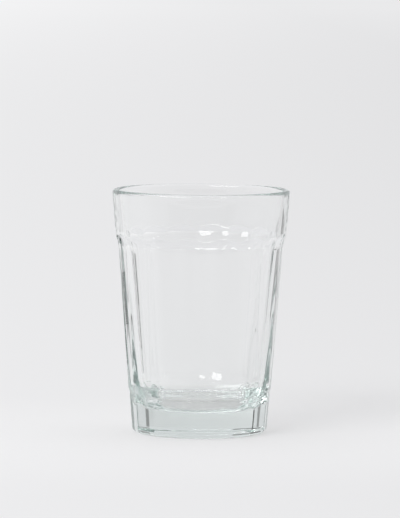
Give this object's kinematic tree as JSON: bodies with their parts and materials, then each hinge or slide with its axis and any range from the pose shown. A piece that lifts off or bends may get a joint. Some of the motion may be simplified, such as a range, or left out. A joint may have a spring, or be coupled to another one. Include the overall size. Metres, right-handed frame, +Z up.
{
  "type": "chai glass",
  "caption": "Tapered clear glass tumbler for tea, with a plain band under its rounded lip, flat panels down the body and a thick faceted foot.",
  "frame": {"origin": "middle of the ring that the glass stands on, at table level", "axes": "+Z up along the glass's axis; a ridge between two panels faces +X, +Y, -X and -Y"},
  "size_m": [0.066, 0.066, 0.0905],
  "materials": {
    "clear_glass": "clear pressed soda-lime glass, fire-polished, with a faint green cast where it is thick"
  },
  "bodies": {
    "root": {"tumbler": "clear_glass"}
  },
  "joints": []
}
